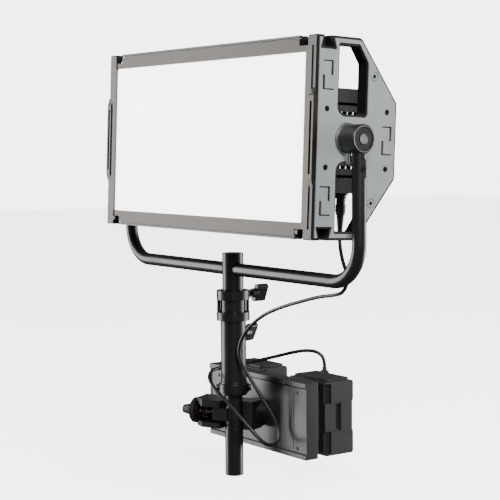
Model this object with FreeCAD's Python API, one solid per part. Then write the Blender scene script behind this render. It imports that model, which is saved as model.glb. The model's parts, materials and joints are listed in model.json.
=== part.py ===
import FreeCAD, Part
import math
import os

V = FreeCAD.Vector
X_AXIS = V(1, 0, 0)
Y_AXIS = V(0, 1, 0)
Z_AXIS = V(0, 0, 1)

# ---- Driving dimensions, in millimetres and degrees --------------------------------
# The origin is the centre of the riser's cut lower end, +Z up, the lit face looks to -Y.
pivot_height = 568.0        # tilt axle above the origin
head_tilt = 2.43            # how far the head leans back at rest

# Panel head, measured in the head's own frame: x across, u back from the front, z up.
head_half_width = 305.5     # to the outer face of a side skin
head_half_height = 152.5
side_depth = 159.4          # deepest point of a side frame
side_top_depth = 86.4       # length of a side frame's top and bottom edge
side_back_half = 58.4       # half length of its back edge
pivot_depth = 62.7          # tilt axle behind the front
skin_thickness = 2.0
side_thickness = 20.0
front_depth = 16.0          # of the front bars and rails
shell_depth = 42.0          # back of the light box
diffuser_half_width = 280.0
diffuser_half_height = 127.0
housing_half_width = 250.0  # electronics housing on the back
housing_top = 80.0
housing_bottom = -82.0
housing_back = 150.0
wall = 2.5

# Yoke
leg_gap = 27.0              # leg centre beyond the side skin
yoke_drop = 216.7           # cross bar below the tilt axle
yoke_radius = 11.0
yoke_wall = 2.5
yoke_bend = 60.0
hub_radius = 22.0
shaft_radius = 8.0
running_gap = 0.06          # of a shaft in its bore
touch_gap = 0.4             # between bodies that move past each other

# Stand
riser_radius = 15.5
post_radius = 18.0
post_top = 379.0
post_bottom = 316.4
spigot_bottom = 176.0
collar_radius = 28.0
collar_top = 316.0
collar_ring = 15.5
collar_waist_bottom = 279.0
sleeve_radius = 21.5
sleeve_top = 300.2
low_ring_bottom = 265.0
sleeve_bottom = 161.0
riser_top = 168.0
held_radius = 14.7          # of the spigot, and of the riser inside the clamp and the joint ring
ring_radius = 25.5
ring_bottom = 138.0

# Clamp on the riser
clamp_top = 128.0
clamp_bottom = 80.0
clamp_turn = 24.0           # of the clamp's screw about the riser, away from -X
clamp_left = -79.0
nut_length = 9.0
arm_right = -17.0
boss_radius = 24.5
boss_offset = 8.0

# Battery box
box_left = -143.0
box_right = 139.0
box_front = 46.0
box_back = 72.5
box_bottom = 41.5
box_top = 169.5
border_rise = 2.2           # of the box front's upper and lower borders
battery_front = 88.3
battery_back = 147.5
battery_width = 98.0
battery_top = 170.5
lid_rise = 4.0
battery_centres = {"left": -94.0, "right": 90.0}

# Power cable, from the head's socket to the right battery. It is in three lengths that meet
# end to end: under the yoke's bar, and behind the sleeve.
cable_radius = 3.0
head_lead_route = [
    (219, 57, 388),
    (235, 48.5, 374),
    (253, 39, 364.5),
    (269, 29.5, 358),
    (279, 20.5, 346.5),
    (275.5, 15.5, 333.8),
    (263, 13.2, 328.5),
    (246, 12, 326),
]
main_lead_route = [
    (246, 12, 326),
    (229, 10.8, 323.5),
    (208, 9, 319),
    (178, 6, 311),
    (141, 3, 301),
    (95, -1, 285),
    (60, -5, 264),
    (40, -10, 241),
    (32, -13, 216.6),
    (36.2, -7.2, 192),
    (48.8, 4, 165.3),
    (61.5, 15, 137.7),
    (74, 27.5, 110.6),
    (81, 35.5, 85),
    (86.5, 27.8, 65),
    (89, 8.7, 62.6),
    (86, -5.8, 73),
    (73, -17, 91.8),
    (54.4, -27, 112.6),
    (33.4, -34.5, 131.6),
    (8.5, -42, 149),
    (-17, -39.5, 165),
    (-36.5, -24, 173.5),
    (-49, -3, 176),
    (-49, 19, 178),
    (-36, 36, 181.5),
]
battery_lead_route = [
    (-36, 36, 181.5),
    (-23, 53, 185),
    (-5.5, 66, 190.6),
    (16.7, 83, 198),
    (39.4, 101.6, 206),
    (55, 117.5, 209),
    (69.5, 129, 206),
    (77, 135.5, 194),
    (77, 135.5, 181),
]

head_centre = V(0, -pivot_depth, 0)


# ---- Shape helpers -------------------------------------------------------------------
def block(x, y, z):
    """Box between the two values of each range."""
    return Part.makeBox(x[1] - x[0], y[1] - y[0], z[1] - z[0], V(x[0], y[0], z[0]))


def rod(start, axis, radius, length):
    return Part.makeCylinder(radius, length, start, axis)


def cone(start, axis, radius_a, radius_b, length):
    return Part.makeCone(radius_a, radius_b, length, start, axis)


def pipe_ring(start, axis, radius, bore, length):
    return rod(start, axis, radius, length).cut(rod(start - axis, axis, bore, length + 2))


def corner(before, at, after, radius):
    """Start, middle and end of the arc that rounds one corner of an outline."""
    back = (before - at).normalize()
    on = (after - at).normalize()
    half = back.getAngle(on) / 2
    reach = radius / math.tan(half)
    start = at + back * reach
    end = at + on * reach
    centre = at + (back + on).normalize() * (radius / math.sin(half))
    middle = centre + (at - centre).normalize() * radius
    return start, middle, end


def outline(points, radii):
    """Closed wire through the points, with each corner rounded by its radius."""
    corners = []
    count = len(points)
    for i in range(count):
        if radii[i] > 0:
            corners.append(corner(points[i - 1], points[i], points[(i + 1) % count], radii[i]))
        else:
            corners.append((points[i], None, points[i]))
    edges = []
    for i in range(count):
        start, middle, end = corners[i]
        if middle is not None:
            edges.append(Part.Arc(start, middle, end).toShape())
        following = corners[(i + 1) % count][0]
        if end.distanceToPoint(following) > 1e-6:
            edges.append(Part.LineSegment(end, following).toShape())
    return Part.Wire(edges)


def prism(points, radii, sweep):
    return Part.Face(outline(points, radii)).extrude(sweep)


def side_prism(profile, radii, x0, x1):
    """Prism along X of an outline given as (u, z) pairs."""
    return prism([V(x0, u, z) for u, z in profile], radii, V(x1 - x0, 0, 0))


def front_prism(profile, radii, y0, y1):
    """Prism along Y of an outline given as (x, z) pairs."""
    return prism([V(x, y0, z) for x, z in profile], radii, V(0, y1 - y0, 0))


def plan_prism(profile, radii, z0, z1):
    """Prism along Z of an outline given as (x, y) pairs."""
    return prism([V(x, y, z0) for x, y in profile], radii, V(0, 0, z1 - z0))


def rectangle(a, b):
    return [(a[0], b[0]), (a[1], b[0]), (a[1], b[1]), (a[0], b[1])]


def inset(profile, distance):
    """The same polygon with each side moved inwards, for outlines listed anticlockwise."""
    count = len(profile)
    lines = []
    for i in range(count):
        ax, ay = profile[i]
        bx, by = profile[(i + 1) % count]
        length = math.hypot(bx - ax, by - ay)
        dx = (bx - ax) / length
        dy = (by - ay) / length
        lines.append((ax - dy * distance, ay + dx * distance, dx, dy))
    moved = []
    for i in range(count):
        ax, ay, adx, ady = lines[i - 1]
        bx, by, bdx, bdy = lines[i]
        cross = adx * bdy - ady * bdx
        along = ((bx - ax) * bdy - (by - ay) * bdx) / cross
        moved.append((ax + adx * along, ay + ady * along))
    return moved


def mirrored(shape):
    return shape.mirror(V(0, 0, 0), X_AXIS)


def joined(shapes):
    return shapes[0].fuse(shapes[1:]).removeSplitter()


def group(shapes):
    return Part.makeCompound(shapes)


def in_head(shape):
    """Carries a shape from the head's own frame to its tilted place on the stand."""
    placed = shape.copy()
    placed.translate(head_centre)
    placed.rotate(V(0, 0, 0), X_AXIS, -head_tilt)
    placed.translate(V(0, 0, pivot_height))
    return placed


def head_point(point):
    turn = FreeCAD.Rotation(X_AXIS, -head_tilt)
    return turn.multVec(point + head_centre) + V(0, 0, pivot_height)


def save(name, shape):
    solids = shape.Solids
    volume = sum(s.Volume for s in solids) / 1000
    print(f"{name:24s} solids {len(solids):3d}  volume {volume:9.2f} cm3  valid {shape.isValid()}")
    shape.exportStep(f"parts/{name}.step")


# ---- Side frames and skins -----------------------------------------------------------
side_profile = [
    (0, -head_half_height),
    (side_top_depth, -head_half_height),
    (side_depth, -side_back_half),
    (side_depth, side_back_half),
    (side_top_depth, head_half_height),
    (0, head_half_height),
]
side_corner_radii = [2, 9, 7, 7, 9, 2]
window_profile = [(44.5, 36.5), (97.5, 36.5), (97.5, 114.5), (80.5, 139.5), (44.5, 139.5)]
window_radii = [16, 6, 9, 4, 4]
slot_centre = 22.4          # accessory slot in the top and bottom edge of a side frame
slot_mouth_half = 6.5
slot_base_half = 12.0
slot_depth = 17.5
screw_places = [(22.0, 43.5), (138.8, 43.5)]
ring_place = (112.2, 96.2)
latch_height = 44.0
latch_width = 21.0
latch_groove = 4.4
pocket_depth = 7.0          # of the lightening pockets on the inner face
skin_margin = 4.0           # bare edge left round a skin
skin_front = 5.4


def flipped(profile):
    """Mirror image about z = 0, still listed anticlockwise."""
    return [(u, -z) for u, z in reversed(profile)]


def slot_profile(grow):
    top = head_half_height + 1
    base = head_half_height - slot_depth - grow
    mouth = slot_mouth_half + grow
    foot = slot_base_half + grow
    return [
        (slot_centre - foot, base),
        (slot_centre + foot, base),
        (slot_centre + mouth, top),
        (slot_centre - mouth, top),
    ]


def side_openings(x0, x1, grow):
    """Windows and accessory slots, as solids to cut away."""
    cuts = []
    for profile, radii in ((window_profile, window_radii), (slot_profile(0), [2, 2, 0, 0])):
        larger = inset(profile, -grow)
        cuts.append(side_prism(larger, radii, x0, x1))
        cuts.append(side_prism(flipped(larger), list(reversed(radii)), x0, x1))
    return cuts


def latch_relief(u, z, x0, x1):
    """S-shaped groove round an upper and a lower tab that lean opposite ways."""
    half = latch_height / 2
    right = u + latch_width
    bars = [
        ((u, right - 1), (z + half - 2, z + half)),
        ((right - latch_groove - 1, right - 1), (z, z + half)),
        ((u, u + latch_groove), (z - half, z)),
        ((u, right), (z - half, z - half + 2)),
    ]
    return [block((x0, x1), across, up) for across, up in bars]


def side_frame():
    inner = head_half_width - skin_thickness - side_thickness
    outer = head_half_width - skin_thickness
    frame = side_prism(side_profile, side_corner_radii, inner, outer)
    frame = frame.cut(side_openings(inner - 1, outer + 1, 0))
    # pocket on the inner face that leaves a rim round the edge and round the openings
    pocket = side_prism(inset(side_profile, 6), side_corner_radii, inner - 1, inner + pocket_depth)
    keep = side_openings(inner - 2, inner + 13, 6)
    keep.append(rod(V(inner - 2, pivot_depth, 0), X_AXIS, 24, 16))
    keep.append(block((inner - 2, inner + 13), (-1, shell_depth + 1), (-head_half_height, head_half_height)))
    for u, z in screw_places:
        for sign in (1, -1):
            keep.append(rod(V(inner - 2, u, sign * z), X_AXIS, 8, 16))
    frame = frame.cut(pocket.cut(keep))
    holes = [rod(V(inner - 1, pivot_depth, 0), X_AXIS, shaft_radius, side_thickness + 2)]
    for u, z in screw_places:
        for sign in (1, -1):
            holes.append(rod(V(inner + 6, u, sign * z), X_AXIS, 2.5, side_thickness))
    return frame.cut(holes)


def side_skin():
    inner = head_half_width - skin_thickness
    outer = head_half_width
    skin = side_prism(inset(side_profile, skin_margin), [2, 8, 6, 6, 8, 2], inner, outer)
    skin = skin.cut(side_openings(inner - 1, outer + 1, 3.2))
    skin = skin.cut(block((inner - 1, outer + 1), (0, skin_front), (-head_half_height, head_half_height)))
    cuts = [rod(V(inner - 1, pivot_depth, 0), X_AXIS, shaft_radius + 2, 5)]
    for u, z in screw_places:
        for sign in (1, -1):
            cuts.append(rod(V(inner - 1, u, sign * z), X_AXIS, 4.5, 5))
    for sign in (1, -1):
        cuts.append(pipe_ring(V(outer - 1.5, ring_place[0], sign * ring_place[1]), X_AXIS, 7.6, 6, 3))
        cuts.append(rod(V(inner - 1, ring_place[0], sign * ring_place[1]), X_AXIS, 3.2, 5))
        cuts += latch_relief(12.5, sign * 93.5, inner - 1, outer + 1)
    cuts += latch_relief(129.5, 0, inner - 1, outer + 1)
    return skin.cut(cuts)


def side_screws():
    """Socket screws that hold the skins and frames to the light box."""
    screws = []
    inner = head_half_width - skin_thickness
    for u, z in screw_places:
        for sign in (1, -1):
            head = rod(V(inner, u, sign * z), X_AXIS, 4.2, 1.6)
            shank = rod(V(inner - 12, u, sign * z), X_AXIS, 2.3, 12)
            socket = rod(V(inner + 0.6, u, sign * z), X_AXIS, 1.6, 2)
            screws.append(head.fuse(shank).cut(socket))
    return group(screws + [mirrored(s) for s in screws])


# ---- Light box -----------------------------------------------------------------------
inner_face = head_half_width - skin_thickness - side_thickness
notch_width = 21.5
notch_height = 15.5
lip_half_height = 62.0
lip_front = 3.8             # how far the lip and the cover stand in front of the frame
cover_front = 1.6
cover_edge = 295.5
cover_half_height = 136.5
plunger_height = -141.0
plunger_radius = 3.4


def front_bar(sign):
    """Top or bottom bar of the front frame, notched at both ends for accessory ears."""
    low = diffuser_half_height + 0.3
    bar = block((-inner_face, inner_face), (0, front_depth), (low, head_half_height))
    cuts = [
        block((-inner_face - 1, inner_face + 1), (-1, 3.0), (head_half_height - 5.5, head_half_height - 3.2)),
        block((-inner_face - 1, inner_face + 1), (6, 10), (head_half_height - 3, head_half_height + 1)),
    ]
    for side in (1, -1):
        x = sorted((side * (inner_face - notch_width), side * (inner_face + 1)))
        z = (head_half_height - notch_height, head_half_height + 1)
        cuts.append(block(x, (-1, front_depth + 1), z))
    bar = bar.cut(cuts)
    if sign < 0:
        bar = bar.mirror(V(0, 0, 0), Z_AXIS)
        for side in (1, -1):
            x = side * (inner_face - notch_width / 2)
            bar = bar.cut(rod(V(x, -2, plunger_height), Y_AXIS, plunger_radius + touch_gap, front_depth + 4))
    return bar


def front_rail():
    """Side rail of the front frame: a cover over the side frame's edge, with a raised slotted lip."""
    low = -diffuser_half_height
    x0 = diffuser_half_width + 0.3
    rail = block((x0, inner_face - 0.1), (-cover_front, front_depth), (low, diffuser_half_height))
    cover = block((x0, cover_edge), (-cover_front, -0.2), (-cover_half_height, cover_half_height))
    shoulder = lip_half_height + 12
    profile = [
        (-lip_front, -lip_half_height),
        (-0.2, -shoulder),
        (-0.2, shoulder),
        (-lip_front, lip_half_height),
    ]
    lip = side_prism(profile, [1, 0, 0, 1], cover_edge - 2.5, head_half_width - 0.2)
    wrap_x = (head_half_width - skin_thickness + 0.2, head_half_width - 0.2)
    wrap = block(wrap_x, (-0.3, skin_front - 0.8), (-lip_half_height, lip_half_height))
    half = lip_half_height - 8
    slot = block((cover_edge + 1, cover_edge + 5.5), (-lip_front - 1, 0), (-half, half))
    return joined([rail, cover, lip, wrap]).cut(slot)


def diffuser():
    half_w = diffuser_half_width
    half_h = diffuser_half_height
    return front_prism(rectangle((-half_w, half_w), (-half_h, half_h)), [3] * 4, 2.2, 5.0)


def diffuser_gasket():
    half_w = diffuser_half_width - 1
    half_h = diffuser_half_height - 1
    ring = block((-half_w, half_w), (5.2, 8.0), (-half_h, half_h))
    return ring.cut(block((-half_w + 7, half_w - 7), (4, 9), (-half_h + 7, half_h - 7)))


def light_box():
    """White tray behind the diffuser that mixes the light."""
    half_w = diffuser_half_width - 1
    half_h = diffuser_half_height - 1
    tray = block((-half_w, half_w), (8.2, 34.0), (-half_h, half_h))
    return tray.cut(block((-half_w + 1.5, half_w - 1.5), (7, 32.5), (-half_h + 1.5, half_h - 1.5)))


board_count = 3
chip_rows = 6
chips_per_row = 4


def board_centres():
    pitch = 2 * (diffuser_half_width - 5) / board_count
    return [pitch * (i - (board_count - 1) / 2) for i in range(board_count)]


def led_boards():
    boards = []
    half = (diffuser_half_width - 5) / board_count - 1
    for x in board_centres():
        boards.append(block((x - half, x + half), (30.7, 32.3), (-120, 120)))
    return group(boards)


def led_chips():
    chips = []
    for centre in board_centres():
        for column in range(chips_per_row):
            for row in range(chip_rows):
                x = centre + 44 * (column - (chips_per_row - 1) / 2)
                z = 38 * (row - (chip_rows - 1) / 2)
                chips.append(block((x - 2.8, x + 2.8), (29.3, 30.7), (z - 2.8, z + 2.8)))
    return group(chips)


def back_cover():
    """Tray that closes the light box from behind, with cooling slots above and below."""
    half_w = inner_face - 0.3
    half_h = head_half_height - 1.5
    cover = block((-half_w, half_w), (front_depth + 0.2, shell_depth), (-half_h, half_h))
    x = (-half_w + wall, half_w - wall)
    z = (-half_h + wall, half_h - wall)
    cover = cover.cut(block(x, (front_depth - 1, shell_depth - wall), z))
    slots = []
    for i in range(22):
        x = 23 * (i - 10.5)
        for sign in (1, -1):
            z = sorted((sign * 92, sign * 140))
            slots.append(block((x - 3, x + 3), (shell_depth - 4, shell_depth + 1), z))
    return cover.cut(slots)


def heat_sink():
    plate = block((-262, 262), (34.2, 36.0), (-138, 138))
    fins = []
    for i in range(23):
        x = 23 * (i - 11)
        fins.append(block((x - 1, x + 1), (35.8, 39.2), (-138, 138)))
    return joined([plate] + fins)


# ---- Electronics housing ---------------------------------------------------------------
panel_x = (-214.0, -26.0)
panel_z = (-58.0, 58.0)
knob_places = {"dimmer_knob": (-62.0, 28.0), "colour_knob": (-62.0, -24.0)}
button_places = {"menu_button": (-152.0, -34.0)}
switch_place = (-100.0, -36.0)
display_x = (-200.0, -104.0)
display_z = (-8.0, 44.0)
inlet_place = (211.0, 130.0)
plug_top = housing_bottom - 9
plug_end = -145.0


def control_housing():
    u0 = shell_depth + 0.2
    profile = rectangle((u0, housing_back), (housing_bottom, housing_top))
    outer = side_prism(profile, [0, 14, 14, 0], -housing_half_width, housing_half_width)
    hollow_profile = rectangle((u0 - 1, housing_back - 3), (housing_bottom + 3, housing_top - 3))
    hollow = side_prism(hollow_profile, [0, 11, 11, 0], -housing_half_width + 3, housing_half_width - 3)
    housing = outer.cut(hollow)
    cuts = [block(panel_x, (housing_back - 4, housing_back + 1), panel_z)]
    for i in range(9):
        z = 14 * (i - 4)
        for sign in (1, -1):
            x = sorted((sign * (housing_half_width - 4), sign * (housing_half_width + 1)))
            cuts.append(block(x, (60, 132), (z - 2, z + 2)))
    for i in range(18):
        x = 14 * i + 2
        cuts.append(block((x - 2, x + 2), (housing_back - 4, housing_back + 1), (-50, 50)))
    cuts.append(rod(V(inlet_place[0], inlet_place[1], housing_bottom - 1), Z_AXIS, 9.2, 6))
    return housing.cut(cuts)


def control_panel():
    gap = 0.2
    x = (panel_x[0] + gap, panel_x[1] - gap)
    z = (panel_z[0] + gap, panel_z[1] - gap)
    plate = block(x, (housing_back - 3, housing_back - 0.5), z)
    cuts = [block(display_x, (housing_back - 2.1, housing_back + 1), display_z)]
    for x, z in knob_places.values():
        cuts.append(rod(V(x, housing_back - 4, z), Y_AXIS, 3.0 + running_gap, 6))
    for x, z in button_places.values():
        cuts.append(rod(V(x, housing_back - 4, z), Y_AXIS, 6.0 + touch_gap, 6))
    x, z = switch_place
    cuts.append(block((x - 11, x + 11), (housing_back - 4, housing_back + 1), (z - 8, z + 8)))
    return plate.cut(cuts)


def display():
    x = (display_x[0] + 0.2, display_x[1] - 0.2)
    z = (display_z[0] + 0.2, display_z[1] - 0.2)
    return block(x, (housing_back - 2.0, housing_back - 0.6), z)


def driver_board():
    board = block((-205, 205), (78, 79.6), (-60, 60))
    parts = [board]
    for i in range(6):
        x = -170 + 66 * i
        parts.append(block((x - 14, x + 14), (79.5, 97), (-30, 8)))
        parts.append(rod(V(x, 79.5, 34), Y_AXIS, 9, 24))
    return joined(parts)


def encoder_knob(x, z):
    grip = rod(V(x, housing_back + 0.1, z), Y_AXIS, 10.5, 15)
    flutes = []
    for i in range(12):
        angle = math.radians(30 * i)
        at = V(x + 11.3 * math.cos(angle), housing_back, z + 11.3 * math.sin(angle))
        flutes.append(rod(at, Y_AXIS, 1.5, 16))
    shaft = rod(V(x, housing_back - 9, z), Y_AXIS, 3.0, 10)
    return joined([grip.cut(flutes), shaft])


def menu_button(x, z):
    cap = rod(V(x, housing_back - 2.6, z), Y_AXIS, 6.0, 5)
    foot = rod(V(x, housing_back - 7, z), Y_AXIS, 3.0, 4.6)
    return joined([cap, foot])


def power_switch():
    """Rocker that sits in the panel's cut-out and tips about a pin along X."""
    x, z = switch_place
    profile = [
        (housing_back - 6, z - 4),
        (housing_back + 0.6, z - 7),
        (housing_back + 2.6, z + 6),
        (housing_back - 6, z + 4),
    ]
    rocker = side_prism(profile, [0, 1, 1, 0], x - 10, x + 10)
    return rocker.cut(rod(V(x - 11, housing_back - 3, z), X_AXIS, 1.2, 22))


def power_inlet():
    """Threaded cable socket on the underside of the housing."""
    x, u = inlet_place
    centre = V(x, u, housing_bottom)
    flange = rod(centre - Z_AXIS * 3, Z_AXIS, 12, 3)
    barrel = rod(centre - Z_AXIS * 9, Z_AXIS, 9, 20)
    return joined([flange, barrel]).cut(rod(centre - Z_AXIS * 10, Z_AXIS, 6.6, 16))


def cable_plug_head():
    """Plug that hangs from the socket, with a tapered strain relief at its lower end."""
    x, u = inlet_place
    top = V(x, u, plug_top)
    pin = rod(top, Z_AXIS, 6.4, 12)
    shell = rod(top - Z_AXIS * 26, Z_AXIS, 7.4, 26)
    grip = rod(top - Z_AXIS * 22, Z_AXIS, 8.4, 12)
    relief = cone(V(x, u, plug_end), Z_AXIS, cable_radius + 0.8, 6.2, plug_top - 26 - plug_end)
    return joined([pin, shell, grip, relief])


# ---- Tilt axle and front details -------------------------------------------------------
def tilt_shafts():
    """Axle stubs bolted through each side frame, turning in the yoke's hubs."""
    stub = rod(V(inner_face - 6, pivot_depth, 0), X_AXIS, shaft_radius - 0.02, 60)
    nut = rod(V(inner_face - 6, pivot_depth, 0), X_AXIS, 14, 5.8)
    shaft = joined([stub, nut])
    return group([shaft, mirrored(shaft)])


def tilt_flanges():
    """Pale friction flanges between the side skins and the yoke's hubs."""
    start = V(head_half_width + 0.1, pivot_depth, 0)
    flange = rod(start, X_AXIS, 25, 3.0).fuse(rod(start, X_AXIS, 23, 5.6)).removeSplitter()
    flange = flange.cut(rod(start - X_AXIS, X_AXIS, shaft_radius, 9))
    return group([flange, mirrored(flange)])


def plunger(side):
    """Spring pin that locks an accessory ear, with a pull ring groove at its tip."""
    x = side * (inner_face - notch_width / 2)
    pin = rod(V(x, -4.5, plunger_height), Y_AXIS, plunger_radius, 24)
    groove = pipe_ring(V(x, -2.5, plunger_height), Y_AXIS, plunger_radius + 1, plunger_radius - 0.8, 1.2)
    return pin.cut(groove)


# ---- Yoke --------------------------------------------------------------------------------
leg_x = head_half_width + leg_gap
bar_height = pivot_height - yoke_drop
hub_start = head_half_width + 6.2
hub_end = 342.6


def yoke_path():
    top = pivot_height - hub_radius - 1.0
    bend_top = bar_height + yoke_bend
    bend_in = leg_x - yoke_bend
    diagonal = yoke_bend * (1 - math.sqrt(0.5))
    edges = [
        Part.LineSegment(V(leg_x, 0, top), V(leg_x, 0, bend_top)),
        Part.Arc(
            V(leg_x, 0, bend_top), V(leg_x - diagonal, 0, bar_height + diagonal), V(bend_in, 0, bar_height)
        ),
        Part.LineSegment(V(bend_in, 0, bar_height), V(-bend_in, 0, bar_height)),
        Part.Arc(
            V(-bend_in, 0, bar_height), V(-leg_x + diagonal, 0, bar_height + diagonal), V(-leg_x, 0, bend_top)
        ),
        Part.LineSegment(V(-leg_x, 0, bend_top), V(-leg_x, 0, top)),
    ]
    return Part.Wire([e.toShape() for e in edges])


def swept(path, radius):
    start = path.Edges[0].valueAt(path.Edges[0].FirstParameter)
    heading = path.Edges[0].tangentAt(path.Edges[0].FirstParameter)
    circle = Part.Wire([Part.Circle(start, heading, radius).toShape()])
    return path.makePipeShell([circle], True, False)


def yoke_tube():
    tube = swept(yoke_path(), yoke_radius).cut(swept(yoke_path(), yoke_radius - yoke_wall))
    recesses = []
    for side in (1, -1):
        x = side * (leg_x + yoke_radius)
        for z, radius in ((-36, 7.2), (-44, 8.0), (-52, 7.2)):
            start = V(x - side * 1.3, 0, pivot_height + z)
            recesses.append(rod(start, X_AXIS * side, radius, 4))
    return tube.cut(recesses)


def leg_screws():
    """Socket screws in the recess at the top of each leg."""
    screws = []
    for side in (1, -1):
        start = V(side * (leg_x + yoke_radius - 1.2), 0, pivot_height - 44)
        head = rod(start, X_AXIS * side, 4.5, 1.8)
        socket = rod(start + X_AXIS * side * 0.8, X_AXIS * side, 2.0, 2)
        screws.append(head.cut(socket))
    return group(screws)


def yoke_hub():
    """Round housing at the top of a leg, bored for the axle stub."""
    centre = V(hub_start, 0, pivot_height)
    barrel = rod(centre, X_AXIS, hub_radius, hub_end - hub_start)
    plug = rod(V(leg_x, 0, pivot_height - hub_radius - 26), Z_AXIS, yoke_radius - yoke_wall - 0.1, 30)
    seat = rod(V(leg_x, 0, pivot_height - hub_radius - 0.9), Z_AXIS, yoke_radius, 5)
    hub = joined([barrel, plug, seat]).cut(rod(V(hub_end, 0, pivot_height), X_AXIS, hub_radius, 4))
    return hub.cut(rod(centre - X_AXIS, X_AXIS, shaft_radius - 0.02 + running_gap, 27.5))


def hub_cap():
    """Pale end disc with a raised rim and a centre ring."""
    start = V(hub_end, 0, pivot_height)
    disc = rod(start, X_AXIS, 20.0, 1.6)
    rim = pipe_ring(start, X_AXIS, 20.0, 17.6, 2.2)
    ring = pipe_ring(start, X_AXIS, 9.0, 7.4, 2.1)
    return joined([disc, rim, ring])


def hub_pins():
    """Plated lock pins that hang under each hub beside the side frame."""
    pins = []
    for side in (1, -1):
        top = V(side * 316.5, -6, pivot_height - hub_radius + 1.2)
        shank = rod(top - Z_AXIS * 14, Z_AXIS, 3.8, 14)
        knob = rod(top - Z_AXIS * 16, Z_AXIS, 4.6, 12)
        hub = rod(V(side * hub_start, 0, pivot_height), X_AXIS * side, hub_radius, hub_end - hub_start)
        pins.append(shank.fuse(knob).removeSplitter().cut(hub))
    return group(pins)


lever_angle = 80.0
lever_length = 62.0


def tilt_lever():
    """Lever on the left hub that locks the tilt, with a round head on its free end."""
    face = -hub_end - 0.4
    hub = rod(V(face, 0, 0), -X_AXIS, 13, 15)
    arm = block((face - 13, face - 6), (-lever_length, 0), (-4, 4))
    head = rod(V(face - 3, -lever_length, 0), -X_AXIS, 6.5, 13)
    lever = joined([hub, arm, head])
    lever.rotate(V(0, 0, 0), X_AXIS, -lever_angle)
    lever.translate(V(0, 0, pivot_height))
    return lever


def yoke_post():
    """Round post that carries the cross bar, with the spigot that turns in the receiver."""
    post = rod(V(0, 0, post_bottom), Z_AXIS, post_radius, post_top - post_bottom)
    spigot = rod(V(0, 0, spigot_bottom), Z_AXIS, held_radius, post_bottom - spigot_bottom + 1)
    post = joined([post, spigot])
    return post.cut(rod(V(-30, 0, bar_height), X_AXIS, yoke_radius + 0.02, 60))


# ---- Receiver, sleeve and riser -----------------------------------------------------------
upper_knob = {"height": 308.0, "turn": 90.0, "face": collar_radius}
lower_knob = {"height": 239.0, "turn": 110.0, "face": sleeve_radius}
strut_angles = (54.7, 234.7)


def turned(shape, degrees, height):
    placed = shape.copy()
    placed.rotate(V(0, 0, 0), Z_AXIS, degrees)
    placed.translate(V(0, 0, height))
    return placed


def screw_hole(knob):
    return turned(rod(V(0, 0, 0), X_AXIS, 5.0 + running_gap, 40), knob["turn"], knob["height"])


def receiver_collar():
    """Two rings joined by a strut on each side of the sleeve, the upper one under the post."""
    top_ring = rod(V(0, 0, collar_top - collar_ring), Z_AXIS, collar_radius, collar_ring)
    low_ring = rod(V(0, 0, low_ring_bottom), Z_AXIS, collar_radius, collar_waist_bottom - low_ring_bottom)
    pieces = [top_ring, low_ring]
    for angle in strut_angles:
        strut = block((sleeve_radius + 0.2, collar_radius - 0.8), (-8, 8), (low_ring_bottom, collar_top - 1))
        pieces.append(turned(strut, angle, 0))
    collar = joined(pieces)
    collar = collar.cut(rod(V(0, 0, 0), Z_AXIS, sleeve_radius + 0.05, sleeve_top + 0.1))
    collar = collar.cut(rod(V(0, 0, sleeve_top - 1), Z_AXIS, held_radius + running_gap, 60))
    return collar.cut(screw_hole(upper_knob))


def receiver_sleeve():
    length = sleeve_top - sleeve_bottom
    sleeve = pipe_ring(V(0, 0, sleeve_bottom), Z_AXIS, sleeve_radius, held_radius + running_gap, length)
    return sleeve.cut(screw_hole(lower_knob))


def joint_ring():
    height = sleeve_bottom - ring_bottom
    ring = rod(V(0, 0, ring_bottom + 4), Z_AXIS, ring_radius, height - 8)
    ends = rod(V(0, 0, ring_bottom), Z_AXIS, ring_radius - 3, height)
    ring = joined([ring, ends]).cut(rod(V(0, 0, ring_bottom - 1), Z_AXIS, held_radius + 0.03, height + 2))
    for angle in strut_angles:
        hole = rod(V(0, 0, 0), X_AXIS, 3.0, 40)
        ring = ring.cut(turned(hole, angle, (sleeve_bottom + ring_bottom) / 2))
    return ring


def joint_ring_screws():
    screws = []
    for angle in strut_angles:
        shank = rod(V(riser_radius + 0.4, 0, 0), X_AXIS, 2.98, ring_radius - riser_radius)
        head = rod(V(ring_radius, 0, 0), X_AXIS, 5.5, 4)
        socket = rod(V(ring_radius + 2, 0, 0), X_AXIS, 2.5, 4)
        screws.append(turned(joined([shank, head]).cut(socket), angle, (sleeve_bottom + ring_bottom) / 2))
    return group(screws)


def riser_tube():
    """Round tube: full size under the clamp, turned down where the clamp and ring grip it."""
    free = rod(V(0, 0, 0), Z_AXIS, riser_radius, clamp_bottom)
    held = rod(V(0, 0, 0), Z_AXIS, held_radius, riser_top)
    return joined([free, held]).cut(rod(V(0, 0, -1), Z_AXIS, riser_radius - 2, riser_top + 2))


def tee_knob(face):
    """Clamping screw with a cross wing, along +X, its tip just short of the spigot."""
    stem = rod(V(held_radius + 0.4, 0, 0), X_AXIS, 5.0, face - held_radius + 14)
    hub = rod(V(face + 9, 0, 0), X_AXIS, 8, 14)
    profile = [(-17, 0), (-14, -5.5), (14, -5.5), (17, 0), (14, 5.5), (-14, 5.5)]
    wing = prism([V(face + 17, y, z) for z, y in reversed(profile)], [2] * 6, V(22, 0, 0))
    wing.rotate(V(0, 0, 0), X_AXIS, 24)
    return joined([stem, hub, wing])


# ---- Clamp and battery box ------------------------------------------------------------------
screw_height = (clamp_top + clamp_bottom) / 2

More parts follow.
